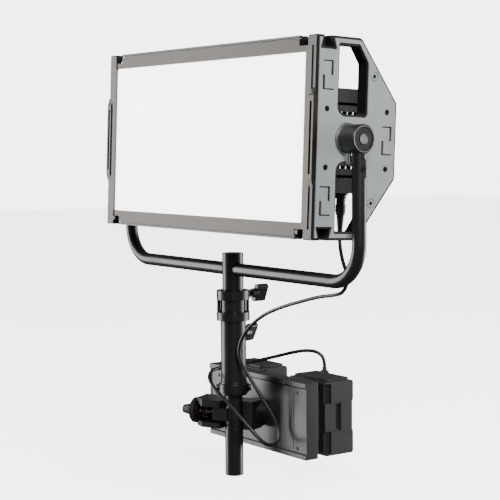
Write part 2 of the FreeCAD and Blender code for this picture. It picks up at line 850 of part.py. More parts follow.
def clamp_frame():
    """C-shaped body: spine behind the riser, fixed jaw, screw end and two arms."""
    spine = block((clamp_left + 6, 38), (17, 30), (clamp_bottom, clamp_top))
    jaw_profile = [(0, 18), (8, 10), (20, -5), (38, -5), (38, 18)]
    jaw = plan_prism(jaw_profile, [0, 0, 2, 3, 0], clamp_bottom, clamp_top)
    washer = rod(V(clamp_left + nut_length - 1, 2, screw_height), X_AXIS, 15, 2.4)
    nut = rod(V(clamp_left, 2, screw_height), X_AXIS, 22, nut_length)
    bridge = block((clamp_left + 2, clamp_left + nut_length), (2, 24), (screw_height - 20, screw_height + 20))
    arm_profile = [
        (clamp_left + 8, 18),
        (clamp_left + 8, -6),
        (clamp_left + 26, -20),
        (arm_right, -20),
        (arm_right, 18),
    ]
    arms = []
    for low, high in ((clamp_bottom, clamp_bottom + 9), (clamp_top - 12, clamp_top)):
        arms.append(plan_prism(arm_profile, [0, 3, 3, 3, 0], low, high))
    frame = joined([spine, jaw, nut, washer, bridge] + arms)
    seat = rod(V(0, 0, clamp_bottom - 1), Z_AXIS, held_radius + 0.05, 60)
    hole = rod(V(clamp_left - 1, 2, screw_height), X_AXIS, spindle_radius + touch_gap, 20)
    return turned(frame.cut([seat, hole]), clamp_turn, 0)


def clamp_boss():
    """Round coupling between the clamp's spine and the battery box."""
    boss = rod(V(boss_offset, 24.0, screw_height), Y_AXIS, boss_radius, box_front + 0.8 - 24.0)
    return boss.cut(clamp_frame())


spindle_radius = 4.6
carriage_left = -58.0       # the plate round the spindle, inside the nut
pad_left = -33.0


def clamp_jaw():
    """Moving jaw with the carriage that its spindle pushes; it opens towards the screw."""
    half = 11.0
    low = screw_height - half
    high = screw_height + half
    pad = block((pad_left, -4), (-16, 10), (low, high))
    pad = pad.cut(rod(V(0, 0, clamp_bottom - 1), Z_AXIS, held_radius + touch_gap, 60))
    rail = block((carriage_left, pad_left + 1), (10.5, 13.5), (screw_height - 5, screw_height + 5))
    foot = block((pad_left - 7, pad_left + 1), (9, 13.5), (screw_height - 5, screw_height + 5))
    plate = block((carriage_left, carriage_left + 3), (-9, 13.5), (low + 1, high - 1))
    lips = []
    for z in ((low + 1, low + 4), (high - 4, high - 1)):
        lips.append(block((carriage_left + 2, carriage_left + 10), (-9, -6), z))
    hole = rod(V(carriage_left - 2, 2, screw_height), X_AXIS, spindle_radius + touch_gap, 12)
    return turned(joined([pad, rail, foot, plate] + lips).cut(hole), clamp_turn, 0)


def clamp_handle():
    """Threaded spindle, stop ring and cone grip."""
    start = clamp_left - 2
    spindle = rod(V(start, 2, screw_height), X_AXIS, spindle_radius, pad_left - 1 - start)
    collar = rod(V(carriage_left + 3.4, 2, screw_height), X_AXIS, 6.5, 4)
    stop = rod(V(clamp_left - 4, 2, screw_height), X_AXIS, 13, 3.6)
    grip = cone(V(clamp_left - 23, 2, screw_height), X_AXIS, 7.5, 11, 20)
    return turned(joined([spindle, collar, stop, grip]), clamp_turn, 0)


def battery_box_case():
    case = block((box_left, box_right), (box_front + border_rise + 1.4, box_back), (box_bottom, box_top))
    x = (box_left + wall, box_right - wall)
    z = (box_bottom + wall, box_top - wall)
    return case.cut(block(x, (box_front + 1, box_back - wall), z))


def battery_box_front():
    """Front plate with a raised border along its top and bottom."""
    face = box_front + border_rise
    plate = block((box_left, box_right), (face, face + 1.4), (box_bottom, box_top))
    borders = []
    for edge, inward in ((box_bottom, 1), (box_top, -1)):
        profile = [(box_front, edge), (box_front, edge + 8 * inward), (face + 0.5, edge + 10.5 * inward), (face + 0.5, edge)]
        borders.append(side_prism(profile, [1, 0.8, 0, 0], box_left, box_right))
    step = block((box_left, box_left + 4), (box_front + 1, face + 0.5), (box_bottom + 8, box_top - 8))
    label = block((37, 104), (face - 0.5, face + 0.5), (56, 149))
    return joined([plate, step, label] + borders).cut(box_screw_cuts())


def box_screw_places():
    places = []
    for x in (box_left + 26, box_right - 26):
        for z in (box_bottom + 16, box_top - 19):
            places.append((x, z))
    return places


def box_screw_cuts():
    return [rod(V(x, box_front - 1, z), Y_AXIS, 2.0, 6) for x, z in box_screw_places()]


def battery_box_screws():
    screws = []
    for x, z in box_screw_places():
        face = box_front + border_rise
        head = rod(V(x, face - 1.4, z), Y_AXIS, 3.0, 1.4)
        shank = rod(V(x, face - 0.1, z), Y_AXIS, 1.95, 7)
        screws.append(joined([head, shank]).cut(rod(V(x, face - 2, z), Y_AXIS, 1.2, 1.4)))
    return group(screws)


def power_board():
    board = block((box_left + 12, box_right - 12), (58, 59.6), (box_bottom + 12, box_top - 12))
    parts = [board]
    for x in battery_centres.values():
        parts.append(block((x - 16, x + 16), (59.5, 66), (82, 122)))
    return joined(parts)


plate_low = 66.0
plate_high = 150.0


def wedge(x, y0, y1, grow):
    """V-shaped tongue, narrow end down."""
    low = 84 - grow
    high = 146 + grow
    profile = [(x - 13 - grow, low), (x + 13 + grow, low), (x + 24 + grow, high), (x - 24 - grow, high)]
    return front_prism(profile, [4, 4, 1, 1], y0, y1)


def v_plates():
    plates = []
    for x in battery_centres.values():
        plate = block((x - 33, x + 33), (box_back, battery_front - 0.4), (plate_low, plate_high))
        plate = plate.cut(wedge(x, battery_front - 7, battery_front + 1, 0.5))
        mouth = block((x - 24.5, x + 24.5), (battery_front - 7, battery_front + 1), (146, 152))
        plates.append(plate.cut(mouth))
    return group(plates)


def battery(centre):
    """Battery pack with a raised lid, notched ends and its V-shaped tongue."""
    half = battery_width / 2
    low = box_bottom + 1.5
    high = battery_top - lid_rise
    middle = (low + battery_top) / 2
    depth = battery_back
    side = [
        (battery_front, low),
        (depth, low),
        (depth, middle - 27),
        (depth - 2, middle - 24),
        (depth - 2, middle + 24),
        (depth, middle + 27),
        (depth, high),
        (battery_front, high),
    ]
    body = side_prism(side, [2, 4, 1, 1, 1, 1, 4, 2], centre - half, centre + half)
    outline = rectangle((centre - half + 5, centre + half - 5), (battery_front + 5, depth - 5))
    lid = plan_prism(outline, [4] * 4, high - 1, battery_top)
    cuts = []
    for side_sign in (1, -1):
        face = centre + side_sign * half
        shallow = sorted((face - side_sign * 1.5, face + side_sign))
        deep = sorted((face - side_sign * 5, face + side_sign))
        cuts.append(block(shallow, (battery_front - 1, battery_front + 33), (middle - 24, middle + 24)))
        cuts.append(block(deep, (battery_front + 23, battery_front + 32), (middle - 21, middle + 21)))
        cuts.append(block(deep, (battery_front - 1, battery_front + 12), (low + 3, middle - 24)))
        cuts.append(block(deep, (battery_front - 1, battery_front + 12), (middle + 24, high - 3)))
    tongue = wedge(centre, battery_front - 6.6, battery_front + 1, 0)
    body = joined([body, lid]).cut(cuts)
    body = joined([body, tongue])
    x = (centre - half + 7, centre + half - 7)
    hollow = block(x, (battery_front + 3, depth - 8), (low + 3, high - 5))
    return body.cut(hollow)


def battery_cells(centre):
    cells = []
    for column in range(4):
        for row in range(2):
            x = centre + 21 * (column - 1.5)
            y = battery_front + 14.5 + 20 * row
            cells.append(rod(V(x, y, box_bottom + 8), Z_AXIS, 9, 70))
    return group(cells)


plug_place = (77.0, 135.5)


def cable_plug_battery():
    """Flat two-pin plug on top of the right battery, with its strain relief pointing up."""
    x, y = plug_place
    base = battery_top
    end = battery_lead_route[-1][2]
    shell = plan_prism(rectangle((x - 7, x + 7), (y - 4.8, y + 4.8)), [2] * 4, base, base + 4.5)
    relief = cone(V(x, y, base + 4), Z_AXIS, 4.4, cable_radius + 0.6, end - base - 4)
    return joined([shell, relief])


# ---- Power cable -----------------------------------------------------------------------------
def lead_path(name, route):
    """Straight runs joined by tangent arcs, each arc as large as its two runs allow."""
    points = [V(*p) for p in route]
    edges = []
    at = points[0]
    radii = []
    for i in range(1, len(points) - 1):
        before = points[i - 1] - points[i]
        after = points[i + 1] - points[i]
        half_turn = (math.pi - before.getAngle(after)) / 2
        reach = 0.45 * min(before.Length, after.Length)
        radius = reach / math.tan(half_turn)
        start, middle, end = corner(points[i - 1], points[i], points[i + 1], radius)
        edges.append(Part.LineSegment(at, start).toShape())
        edges.append(Part.Arc(start, middle, end).toShape())
        at = end
        radii.append(round(radius, 1))
    edges.append(Part.LineSegment(at, points[-1]).toShape())
    print(f"{name}: arc radii {radii}, smallest {min(radii)}")
    return Part.Wire(edges)


def lead(name, route):
    path = lead_path(name, route)
    tube = swept(path, cable_radius)
    expected = math.pi * cable_radius**2 * path.Length
    print(f"{name}: length {path.Length:.1f} mm, volume {tube.Volume:.0f} against {expected:.0f} mm3")
    return tube


def head_lead():
    """From the plug under the head, first along the plug's own axis."""
    x, u = inlet_place
    start = [tuple(head_point(V(x, u, plug_end - along))) for along in (0, 14)]
    return lead("head_lead", start + head_lead_route)


# ---- Build -----------------------------------------------------------------------------------
def build():
    os.makedirs("parts", exist_ok=True)
    # stand
    save("riser_tube", riser_tube())
    save("joint_ring", joint_ring())
    save("joint_ring_screws", joint_ring_screws())
    save("receiver_sleeve", receiver_sleeve())
    save("receiver_collar", receiver_collar())
    save("clamp_frame", clamp_frame())
    save("clamp_boss", clamp_boss())
    save("battery_box_case", battery_box_case())
    save("battery_box_front", battery_box_front())
    save("battery_box_screws", battery_box_screws())
    save("power_board", power_board())
    save("v_plates", v_plates())
    save("cable_plug_battery", cable_plug_battery())
    save("main_lead", lead("main_lead", main_lead_route))
    save("battery_lead", lead("battery_lead", battery_lead_route))
    for name, knob in (("tee_knob_upper", upper_knob), ("tee_knob_lower", lower_knob)):
        save(name, turned(tee_knob(knob["face"]), knob["turn"], knob["height"]))
    save("clamp_jaw", clamp_jaw())
    save("clamp_handle", clamp_handle())
    for side, centre in battery_centres.items():
        save(f"battery_{side}", battery(centre))
        save(f"battery_cells_{side}", battery_cells(centre))
    # yoke
    save("yoke_tube", yoke_tube())
    save("yoke_post", yoke_post())
    save("yoke_hubs", group([yoke_hub(), mirrored(yoke_hub())]))
    save("hub_cap", hub_cap())
    save("hub_pins", hub_pins())
    save("leg_screws", leg_screws())
    save("tilt_lever", tilt_lever())
    # head
    save("side_frame_right", in_head(side_frame()))
    save("side_frame_left", in_head(mirrored(side_frame())))
    save("side_skins", in_head(group([side_skin(), mirrored(side_skin())])))
    save("side_screws", in_head(side_screws()))
    save("front_bar_top", in_head(front_bar(1)))
    save("front_bar_bottom", in_head(front_bar(-1)))
    save("front_rails", in_head(group([front_rail(), mirrored(front_rail())])))
    save("diffuser", in_head(diffuser()))
    save("diffuser_gasket", in_head(diffuser_gasket()))
    save("light_box", in_head(light_box()))
    save("led_boards", in_head(led_boards()))
    save("led_chips", in_head(led_chips()))
    save("heat_sink", in_head(heat_sink()))
    save("back_cover", in_head(back_cover()))
    save("control_housing", in_head(control_housing()))
    save("control_panel", in_head(control_panel()))
    save("display", in_head(display()))
    save("driver_board", in_head(driver_board()))
    for name, (x, z) in knob_places.items():
        save(name, in_head(encoder_knob(x, z)))
    for name, (x, z) in button_places.items():
        save(name, in_head(menu_button(x, z)))
    save("power_switch", in_head(power_switch()))
    save("power_inlet", in_head(power_inlet()))
    save("cable_plug_head", in_head(cable_plug_head()))
    save("head_lead", head_lead())
    save("tilt_shafts", in_head(tilt_shafts()))
    save("tilt_flanges", in_head(tilt_flanges()))
    save("plunger_right", in_head(plunger(1)))
    save("plunger_left", in_head(plunger(-1)))


build()
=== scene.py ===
import math
import bpy
from mathutils import Matrix, Vector
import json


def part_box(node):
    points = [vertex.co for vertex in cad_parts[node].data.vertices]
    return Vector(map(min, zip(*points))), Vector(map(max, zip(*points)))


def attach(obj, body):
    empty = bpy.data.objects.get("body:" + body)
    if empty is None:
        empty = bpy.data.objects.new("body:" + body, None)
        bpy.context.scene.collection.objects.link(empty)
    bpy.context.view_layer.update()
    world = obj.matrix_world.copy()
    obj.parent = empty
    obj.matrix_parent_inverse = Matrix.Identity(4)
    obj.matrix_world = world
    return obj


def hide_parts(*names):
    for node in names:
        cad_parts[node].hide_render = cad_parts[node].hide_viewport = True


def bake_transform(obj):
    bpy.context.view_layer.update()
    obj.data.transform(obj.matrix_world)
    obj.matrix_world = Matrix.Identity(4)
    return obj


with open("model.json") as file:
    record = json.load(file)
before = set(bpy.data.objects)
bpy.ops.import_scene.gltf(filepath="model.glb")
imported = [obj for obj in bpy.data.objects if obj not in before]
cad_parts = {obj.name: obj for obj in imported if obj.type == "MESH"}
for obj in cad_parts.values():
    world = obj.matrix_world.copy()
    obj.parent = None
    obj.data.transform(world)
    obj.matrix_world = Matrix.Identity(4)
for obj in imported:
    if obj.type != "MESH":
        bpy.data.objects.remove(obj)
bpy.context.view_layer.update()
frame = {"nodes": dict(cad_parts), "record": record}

nodes = frame["nodes"]
print("frame loaded:", len(nodes), "nodes")

camera = {
    "place": (1.9477, -1.3438, 0.5633),
    "turn": 54.69,      # degrees from looking along +Y towards -X
    "dip": 4.35,        # degrees below level
    "roll": 0.41,
    "lens": 101.35,
    "sensor": 36.0,
    "reach": (0.05, 60),
}


def makeCamera():
    turn, dip, roll = (math.radians(camera[key]) for key in ("turn", "dip", "roll"))
    level = math.cos(dip)
    ahead = Vector((-math.sin(turn) * level, math.cos(turn) * level, -math.sin(dip)))
    right = Vector((math.cos(turn), math.sin(turn), 0))
    down = ahead.cross(right)
    rightRolled = math.cos(roll) * right + math.sin(roll) * down
    downRolled = math.cos(roll) * down - math.sin(roll) * right
    data = bpy.data.cameras.new("mainCamera")
    data.lens = camera["lens"]
    data.sensor_width = camera["sensor"]
    data.clip_start, data.clip_end = camera["reach"]
    view = bpy.data.objects.new("mainCamera", data)
    bpy.context.scene.collection.objects.link(view)
    axes = Matrix((rightRolled, -downRolled, -ahead)).transposed()
    view.matrix_world = Matrix.Translation(camera["place"]) @ axes.to_4x4()
    bpy.context.scene.camera = view
    bpy.context.view_layer.update()


makeCamera()
print("camera placed")

leadShape = {"radius": 0.003, "steps": 10, "rings": 5}
headLeadRoute = [
    (0.211, 0.06109, 0.42028), (0.211, 0.0605, 0.40629), (0.219, 0.057, 0.388),
    (0.235, 0.0485, 0.374), (0.253, 0.039, 0.3645), (0.269, 0.0295, 0.358),
    (0.279, 0.0205, 0.3465), (0.2755, 0.0155, 0.3338), (0.263, 0.0132, 0.3285),
    (0.246, 0.012, 0.326),
]
mainLeadRoute = [
    (0.246, 0.012, 0.326), (0.229, 0.0108, 0.3235), (0.208, 0.009, 0.319),
    (0.178, 0.006, 0.311), (0.141, 0.003, 0.301), (0.095, -0.001, 0.285),
    (0.06, -0.005, 0.264), (0.04, -0.01, 0.241), (0.032, -0.013, 0.2166),
    (0.0362, -0.0072, 0.192), (0.0488, 0.004, 0.1653), (0.0615, 0.015, 0.1377),
    (0.074, 0.0275, 0.1106), (0.081, 0.0355, 0.085), (0.0865, 0.0278, 0.065),
    (0.089, 0.0087, 0.0626), (0.086, -0.0058, 0.073), (0.073, -0.017, 0.0918),
    (0.0544, -0.027, 0.1126), (0.0334, -0.0345, 0.1316), (0.0085, -0.042, 0.149),
    (-0.017, -0.0395, 0.165), (-0.0365, -0.024, 0.1735), (-0.049, -0.003, 0.176),
    (-0.049, 0.019, 0.178), (-0.036, 0.036, 0.1815),
]
batteryLeadRoute = [
    (-0.036, 0.036, 0.1815), (-0.023, 0.053, 0.185), (-0.0055, 0.066, 0.1906),
    (0.0167, 0.083, 0.198), (0.0394, 0.1016, 0.206), (0.055, 0.1175, 0.209),
    (0.0695, 0.129, 0.206), (0.077, 0.1355, 0.194), (0.077, 0.1355, 0.181),
]


def leadCurve(name, route, radius):
    curve = bpy.data.curves.new(name, "CURVE")
    curve.dimensions = "3D"
    curve.resolution_u = leadShape["steps"]
    curve.bevel_depth = radius
    curve.bevel_resolution = leadShape["rings"]
    curve.use_fill_caps = radius > 0
    spline = curve.splines.new("NURBS")
    spline.points.add(len(route) - 1)
    for point, place in zip(spline.points, route):
        point.co = (*place, 1)
    spline.order_u = 3
    spline.use_endpoint_u = True
    return bpy.data.objects.new(name, curve)


def makeLead(name, route, cadNode):
    line = leadCurve(name + "Line", route, 0)
    path = [vertex.co[:] for vertex in bpy.data.meshes.new_from_object(line).vertices]
    tube = bpy.data.meshes.new_from_object(leadCurve(name + "Tube", route, leadShape["radius"]))
    piece = bpy.data.objects.new(name, tube)
    bpy.context.scene.collection.objects.link(piece)
    tube.shade_smooth()
    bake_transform(piece)
    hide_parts(cadNode)
    return piece


headLead = makeLead(
    "headLead", headLeadRoute, "head_lead",
)
mainLead = makeLead(
    "mainLead", mainLeadRoute, "main_lead",
)
batteryLead = makeLead(
    "batteryLead", batteryLeadRoute, "battery_lead",
)
print("leads laid")


class Signal:
    def __init__(self, finish, socket):
        self.finish = finish
        self.socket = socket

    def maths(self, operation, other, swapped=False):
        pair = (other, self) if swapped else (self, other)
        return self.finish.add("ShaderNodeMath", {"operation": operation}, dict(enumerate(pair)))

    def alone(self, operation):
        return self.finish.add("ShaderNodeMath", {"operation": operation}, {0: self})

    def __add__(self, other):
        return self.maths("ADD", other)

    def __radd__(self, other):
        return self.maths("ADD", other, True)

    def __sub__(self, other):
        return self.maths("SUBTRACT", other)

    def __rsub__(self, other):
        return self.maths("SUBTRACT", other, True)

    def __mul__(self, other):
        return self.maths("MULTIPLY", other)

    def __rmul__(self, other):
        return self.maths("MULTIPLY", other, True)

    def __pow__(self, other):
        return self.maths("POWER", other)

    def __gt__(self, other):
        return self.maths("GREATER_THAN", other)

    def __lt__(self, other):
        return self.maths("LESS_THAN", other)


class Finish:
    def __init__(self, name, **constants):
        self.material = bpy.data.materials.new(name)
        self.material.use_nodes = True
        self.tree = self.material.node_tree
        self.shader = self.tree.nodes["Principled BSDF"]
        for socket, value in constants.items():
            self.shader.inputs[socket.replace("_", " ")].default_value = value

    def add(self, kind, settings=None, inputs=None, output=0):
        node = self.tree.nodes.new(kind)
        for key, value in (settings or {}).items():
            if key == "stops":
                self.setStops(node.color_ramp.elements, value)
            else:
                setattr(node, key, value)
        for key, value in (inputs or {}).items():
            self.feed(node.inputs[key], value)
        return Signal(self, node.outputs[output])

    def setStops(self, elements, stops):
        while len(elements) < len(stops):
            elements.new(1.0)
        for element, (position, colour) in zip(elements, stops):
            element.position = position
            element.color = colour

    def feed(self, socket, value):
        if isinstance(value, Signal):
            self.tree.links.new(value.socket, socket)
        else:
            socket.default_value = value

    def shade(self, **sockets):
        for name, value in sockets.items():
            self.feed(self.shader.inputs[name.replace("_", " ")], value)

    def place(self):
        return self.add("ShaderNodeTexCoord", output="Object")

    def axes(self):
        split = self.add("ShaderNodeSeparateXYZ", inputs={0: self.place()}).socket.node
        return [Signal(self, output) for output in split.outputs]

    def mapped(self, scale=(1, 1, 1), rotation=(0, 0, 0)):
        inputs = {"Vector": self.place(), "Rotation": rotation, "Scale": scale}
        return self.add("ShaderNodeMapping", inputs=inputs)

    def noise(self, scale, detail, vector=None, roughness=0.55):
        inputs = {"Vector": vector or self.place(), "Scale": scale}
        inputs.update({"Detail": detail, "Roughness": roughness})
        return self.add("ShaderNodeTexNoise", inputs=inputs)

    def ramp(self, factor, stops):
        return self.add("ShaderNodeValToRGB", {"stops": stops}, {0: factor})

    def mix(self, factor, first, second):
        inputs = {0: factor, 6: first, 7: second}    # the colour sockets
        return self.add("ShaderNodeMix", {"data_type": "RGBA"}, inputs, output=2)

    def clamp(self, value):
        return self.add("ShaderNodeClamp", inputs={0: value})

    def bump(self, height, depth):
        return self.add("ShaderNodeBump", inputs={"Height": height, "Distance": depth})


black = (0, 0, 0, 1)
white = (1, 1, 1, 1)


def rgba(colour, factor=1.0):
    return (colour[0] * factor, colour[1] * factor, colour[2] * factor, 1.0)


coats = {
    "blackCoat": {
        "colour": (0.0085, 0.0085, 0.009), "pale": 2.2,
        "rough": 0.34, "spread": 0.16, "grain": 900, "depth": 0.00002,
    },
    "standCoat": {
        "colour": (0.0075, 0.0075, 0.008), "pale": 1.6,
        "rough": 0.33, "spread": 0.08, "grain": 700, "depth": 0.000004,
    },
    "frameCoat": {
        "colour": (0.007, 0.007, 0.0075), "pale": 2.4,
        "rough": 0.40, "spread": 0.12, "grain": 1100, "depth": 0.00003,
    },
    "housingCoat": {
        "colour": (0.010, 0.0105, 0.011), "pale": 1.8,
        "rough": 0.42, "spread": 0.12, "grain": 1000, "depth": 0.00004,
    },
    "clampCoat": {
        "colour": (0.007, 0.007, 0.007), "pale": 2.2,
        "rough": 0.38, "spread": 0.14, "grain": 900, "depth": 0.00004,
    },
    "boxCoat": {
        "colour": (0.020, 0.020, 0.019), "pale": 1.7,
        "rough": 0.40, "spread": 0.14, "grain": 1000, "depth": 0.00003,
    },
    "skinPaint": {
        "colour": (0.285, 0.302, 0.303), "pale": 1.2,
        "rough": 0.36, "spread": 0.12, "grain": 800, "depth": 0.00002,
    },
    "knobPlastic": {
        "colour": (0.009, 0.009, 0.0095), "pale": 2.2,
        "rough": 0.42, "spread": 0.14, "grain": 1300, "depth": 0.00005,
    },
    "panelPlastic": {
        "colour": (0.010, 0.010, 0.011), "pale": 1.8,
        "rough": 0.50, "spread": 0.10, "grain": 1500, "depth": 0.00008,
    },
    "batteryPlastic": {
        "colour": (0.013, 0.0145, 0.014), "pale": 1.8,
        "rough": 0.46, "spread": 0.14, "grain": 1200, "depth": 0.00006,
    },
    "cableRubber": {
        "colour": (0.007, 0.007, 0.0075), "pale": 2.2,
        "rough": 0.42, "spread": 0.12, "grain": 1400, "depth": 0.00004,
    },
    "sealRubber": {
        "colour": (0.012, 0.012, 0.012), "pale": 1.8,
        "rough": 0.62, "spread": 0.10, "grain": 900, "depth": 0.00008,
    },
    "whiteTray": {
        "colour": (0.78, 0.78, 0.77), "pale": 1.1,
        "rough": 0.60, "spread": 0.08, "grain": 900, "depth": 0.00004,
    },
}


coatWear = {
    "patches": 28, "patchTones": (0.82, 1.18), "scuffs": 160, "scuffRelief": 0.6,
    "wornFrom": 0.60, "wornFull": 0.78, "wornShare": 0.5, "wornRough": 0.12,
}


def coatFinish(name):
    spec = coats[name]
    finish = Finish(name)
    patches = finish.noise(coatWear["patches"], detail=5)
    scuffs = finish.noise(coatWear["scuffs"], detail=6, roughness=0.7)
    grain = finish.noise(spec["grain"], detail=2)
    wear = [(0.0, black), (coatWear["wornFrom"], black), (coatWear["wornFull"], white)]
    worn = finish.ramp(scuffs, wear)
    dark, light = (rgba(spec["colour"], tone) for tone in coatWear["patchTones"])
    pale = rgba(spec["colour"], spec["pale"])
    colour = finish.mix(worn * coatWear["wornShare"], finish.mix(patches, dark, light), pale)
    smoothest = spec["rough"] - spec["spread"] / 2
    rough = smoothest + patches * spec["spread"] + worn * coatWear["wornRough"]
    finish.shade(
        Base_Color=colour,
        Roughness=finish.clamp(rough),
        Normal=finish.bump(grain + scuffs * coatWear["scuffRelief"], spec["depth"]),
    )
    return finish.material


metals = {
    "brightSteel": {
        "colour": (0.60, 0.60, 0.59),
        "rough": 0.24, "spread": 0.16, "streak": (1, 1, 1), "depth": 0.00003,
    },
    "blackScrew": {
        "colour": (0.055, 0.055, 0.058),
        "rough": 0.34, "spread": 0.16, "streak": (1, 1, 1), "depth": 0.00003,
    },
    "machinedAluminium": {
        "colour": (0.70, 0.69, 0.66),
        "rough": 0.32, "spread": 0.14, "streak": (1, 1, 1), "depth": 0.00003,
    },
    "greyFlange": {
        "colour": (0.30, 0.31, 0.31),
        "rough": 0.36, "spread": 0.14, "streak": (1, 1, 1), "depth": 0.00003,
    },
    "frameMetal": {
        "colour": (0.066, 0.060, 0.054),
        "rough": 0.40, "spread": 0.16, "streak": (0.03, 1, 1), "depth": 0.00003,
    },
}


brushing = {"streaks": 700, "clouds": 35, "streakShare": 0.6, "dark": 0.72, "light": 1.2}


def brushedTone(finish, streak):
    brushed = finish.mapped(scale=streak)
    streaks = finish.noise(brushing["streaks"], detail=4, vector=brushed, roughness=0.65)
    clouds = finish.noise(brushing["clouds"], detail=4)
    share = brushing["streakShare"]
    return streaks, streaks * share + clouds * (1 - share)


def metalFinish(name):
    spec = metals[name]
    finish = Finish(name, Metallic=1.0)
    streaks, tone = brushedTone(finish, spec["streak"])
    dark, light = (rgba(spec["colour"], brushing[key]) for key in ("dark", "light"))
    finish.shade(
        Base_Color=finish.mix(tone, dark, light),
        Roughness=finish.clamp(spec["rough"] - spec["spread"] / 2 + tone * spec["spread"]),
        Normal=finish.bump(streaks, spec["depth"]),
    )
    return finish.material


diffuserLook = {
    "glow": (1.0, 0.998, 0.99), "edge": (0.90, 0.91, 0.93), "strength": 5.0, "fade": 0.030,
    "sheet": (0.86, 0.92), "rough": 0.55, "grain": 1400, "unevenness": 0.2, "depth": 0.00004,
}


def diffuserFinish():
    look = diffuserLook
    finish = Finish("litDiffuser", Roughness=look["rough"], Emission_Strength=look["strength"])
    low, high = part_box("diffuser")
    x, _, z = finish.axes()
    perMetre = 1 / look["fade"]
    fromSide = (high.x - x.alone("ABSOLUTE")) * perMetre
    fromTop = (high.z - z) * perMetre
    fromFoot = (z - low.z) * perMetre
    nearest = fromSide.maths("MINIMUM", fromTop).maths("MINIMUM", fromFoot)
    grain = finish.noise(look["grain"], detail=2)
    even = 1 - look["unevenness"] / 2
    inside = finish.clamp(nearest * (even + look["unevenness"] * grain))
    darkSheet, paleSheet = (rgba((1, 1, 1), tone) for tone in look["sheet"])
    finish.shade(
        Base_Color=finish.mix(grain, darkSheet, paleSheet),
        Emission_Color=finish.mix(inside, rgba(look["edge"]), rgba(look["glow"])),
        Normal=finish.bump(grain, look["depth"]),
    )
    return finish.material


boardLook = {
    "base": (0.012, 0.075, 0.035), "paleBase": (0.016, 0.095, 0.042), "track": (0.03, 0.17, 0.08),
    "pad": (0.55, 0.48, 0.30), "padSize": 420, "padFrom": 0.68, "padFull": 0.70,
    "rough": 0.30, "spread": 0.2, "coat": 0.3, "depth": 0.00004,
}
boardTracks = {"Scale": 60.0, "Mortar Size": 0.035, "Brick Width": 1.3, "Row Height": 0.31}


def boardFinish():
    look = boardLook
    finish = Finish("circuitBoard", Coat_Weight=look["coat"])
    tracks = finish.add("ShaderNodeTexBrick", {"offset": 0.37}, {
        "Vector": finish.mapped(rotation=(math.radians(90), 0, 0)),
        "Color1": rgba(look["base"]), "Color2": rgba(look["paleBase"]),
        "Mortar": rgba(look["track"]), **boardTracks,
    })
    pads = finish.noise(look["padSize"], detail=1)
    copper = finish.ramp(pads, [(0.0, black), (look["padFrom"], black), (look["padFull"], white)])
    finish.shade(
        Base_Color=finish.mix(copper, tracks, rgba(look["pad"])),
        Roughness=look["rough"] + look["spread"] * pads,
        Normal=finish.bump(copper, look["depth"]),
    )
    return finish.material


chipLook = {
    "dark": (0.80, 0.62, 0.16), "light": (0.92, 0.78, 0.30), "strength": 2.0,
    "dimGlow": (1.0, 0.86, 0.6), "glow": (1.0, 0.93, 0.75),
    "rough": 0.35, "grain": 1600, "depth": 0.00002,
}


def chipFinish():
    look = chipLook
    finish = Finish("litChips", Roughness=look["rough"], Emission_Strength=look["strength"])
    grain = finish.noise(look["grain"], detail=2)
    finish.shade(
        Base_Color=finish.mix(grain, rgba(look["dark"]), rgba(look["light"])),
        Emission_Color=finish.mix(grain, rgba(look["dimGlow"]), rgba(look["glow"])),
        Normal=finish.bump(grain, look["depth"]),
    )
    return finish.material


cellLook = {
    "wrap": (0.03, 0.10, 0.30), "paleWrap": (0.05, 0.15, 0.40), "can": (0.6, 0.6, 0.58),
    "wrapFoot": 0.0525, "wrapTop": 0.117, "wrinkles": 90,
    "rough": 0.22, "spread": 0.2, "coat": 0.4, "depth": 0.0002,
}


def cellFinish():
    look = cellLook
    finish = Finish("cellWrap", Coat_Weight=look["coat"])
    z = finish.axes()[2]
    wrinkles = finish.noise(look["wrinkles"], detail=5)
    bare = finish.clamp((z < look["wrapFoot"]) + (z > look["wrapTop"]))
    wrap = finish.mix(wrinkles, rgba(look["wrap"]), rgba(look["paleWrap"]))
    finish.shade(
        Base_Color=finish.mix(bare, wrap, rgba(look["can"])),
        Roughness=look["rough"] + look["spread"] * wrinkles,
        Metallic=bare,
        Normal=finish.bump(wrinkles, look["depth"]),
    )
    return finish.material


tiltHeight = 0.568    # the head tilts about this height

screenLook = {
    "left": -0.192, "step": 0.0145, "bars": 6, "low": -0.004, "rise": 0.0052,
    "barFrom": 0.22, "barTo": 0.80, "lineFrom": 0.0345, "lineTo": 0.0358,
    "glass": (0.004, 0.005, 0.007), "smudge": (0.010, 0.012, 0.016), "smudges": 60,
    "off": (0.002, 0.004, 0.006), "lit": (0.25, 0.62, 0.80), "strength": 1.4,
    "rough": 0.06, "spread": 0.12, "coat": 0.6, "depth": 0.00002,
}


def screenFinish():
    look = screenLook
    finish = Finish("screenGlass", Coat_Weight=look["coat"], Emission_Strength=look["strength"])
    x, _, z = finish.axes()
    smudges = finish.noise(look["smudges"], detail=4)
    column = (x - look["left"]) * (1 / look["step"])
    whole = column.alone("FLOOR")
    across = column - whole
    inBar = (across > look["barFrom"]) * (across < look["barTo"])
    inBar = inBar * (whole > -0.5) * (whole < look["bars"] - 0.5)
    height = z - (tiltHeight + look["low"])
    lit = inBar * (height > 0.0) * (height < (whole + 1.0) * look["rise"])
    topLine = (height > look["lineFrom"]) * (height < look["lineTo"])
    glow = finish.mix(finish.clamp(lit + topLine), rgba(look["off"]), rgba(look["lit"]))
    finish.shade(
        Base_Color=finish.mix(smudges, rgba(look["glass"]), rgba(look["smudge"])),
        Emission_Color=glow,
        Roughness=look["rough"] + look["spread"] * smudges,
        Normal=finish.bump(smudges, look["depth"]),
    )
    return finish.material


